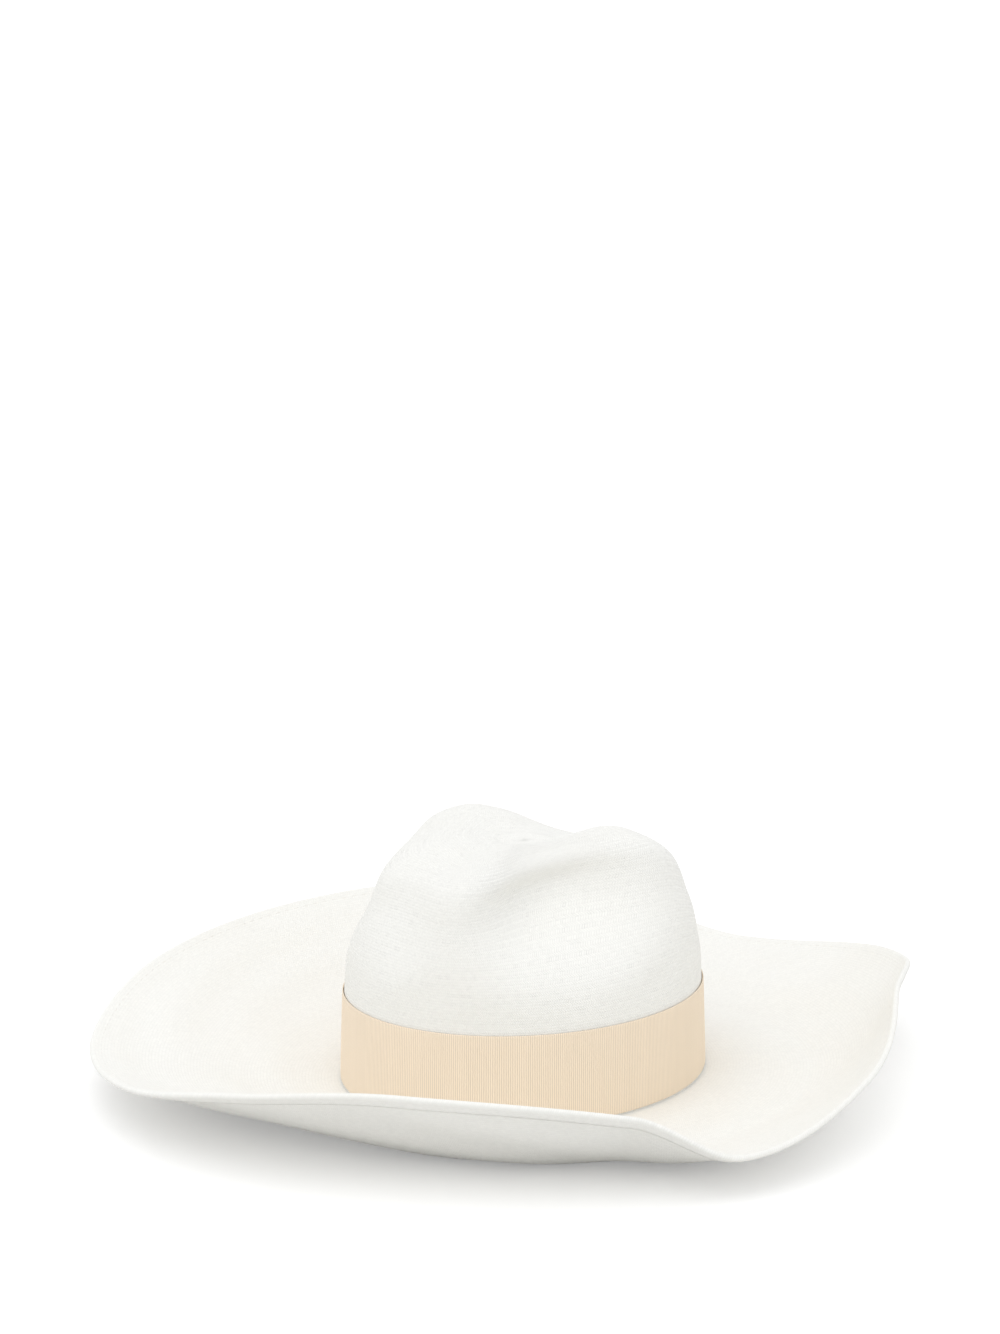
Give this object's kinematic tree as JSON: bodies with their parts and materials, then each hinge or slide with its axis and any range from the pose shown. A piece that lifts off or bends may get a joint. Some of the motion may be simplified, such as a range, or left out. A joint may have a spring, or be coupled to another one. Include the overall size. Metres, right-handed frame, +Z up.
{
  "type": "panama hat",
  "caption": "Wide-brim cream straw panama hat with a pinched crown, wired and stitched brim hem, wide beige grosgrain band and a flat side bow.",
  "frame": {"origin": "under the middle of the whole hat, on the surface that it rests on", "axes": "+Z up through the crown, -Y to the front of the hat, +X to the wearer's left"},
  "size_m": [0.408, 0.4374, 0.1271],
  "materials": {
    "woven_straw": "matte, finely woven toquilla straw, bleached cream",
    "grosgrain": "beige ribbed grosgrain ribbon with a soft sheen",
    "sweatband_cotton": "cream cotton webbing",
    "label_cotton": "blank white woven label",
    "sewing_thread": "off-white sewing thread",
    "edge_wire": "springy steel wire"
  },
  "bodies": {
    "root": {"straw_hood": "woven_straw", "brim_edge_wire": "edge_wire", "hem_stitching": "sewing_thread", "hatband": "grosgrain", "bow_tails": "grosgrain", "bow_loop_front": "grosgrain", "bow_loop_back": "grosgrain", "bow_knot": "grosgrain", "bow_tack_front": "sewing_thread", "bow_tack_back": "sewing_thread", "sweatband": "sweatband_cotton", "sweatband_stitching": "sewing_thread", "sweatband_seam_tape": "sweatband_cotton", "size_label": "label_cotton"}
  },
  "joints": []
}
